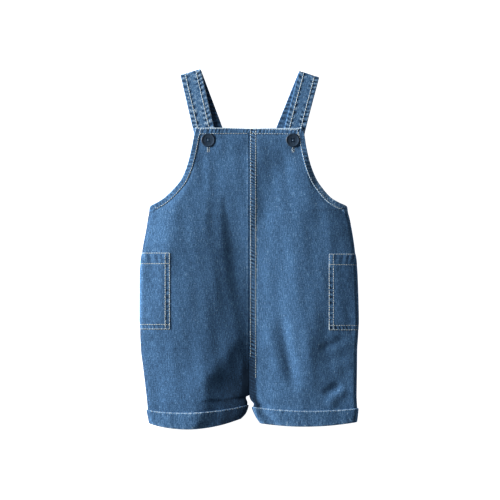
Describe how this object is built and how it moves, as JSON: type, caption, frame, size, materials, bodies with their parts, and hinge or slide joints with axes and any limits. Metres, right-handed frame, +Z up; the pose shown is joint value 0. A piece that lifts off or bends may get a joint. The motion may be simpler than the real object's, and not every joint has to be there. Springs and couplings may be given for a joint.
{
  "type": "kids dungarees",
  "caption": "Short-legged child's dungarees in blue denim, laid flat, with buttoned bib straps, patch pockets round the sides and turned-up legs",
  "frame": {"origin": "middle of the garment's outline, at the height of the surface it lies on", "axes": "+Y towards the straps, along the garment; +X towards the right-hand pocket as seen from above; +Z up, out of the surface"},
  "size_m": [0.2756, 0.4501, 0.0141],
  "materials": {
    "denim": "mid-blue washed denim with cream topstitching",
    "button_plastic": "dark navy, satin"
  },
  "bodies": {
    "root": {"front_left": "denim", "front_right": "denim", "back_left": "denim", "back_right": "denim", "pocket_left": "denim", "pocket_right": "denim", "cuff_left": "denim", "cuff_right": "denim", "strap_left": "denim", "strap_right": "denim", "button_left": "button_plastic", "button_right": "button_plastic"}
  },
  "joints": []
}
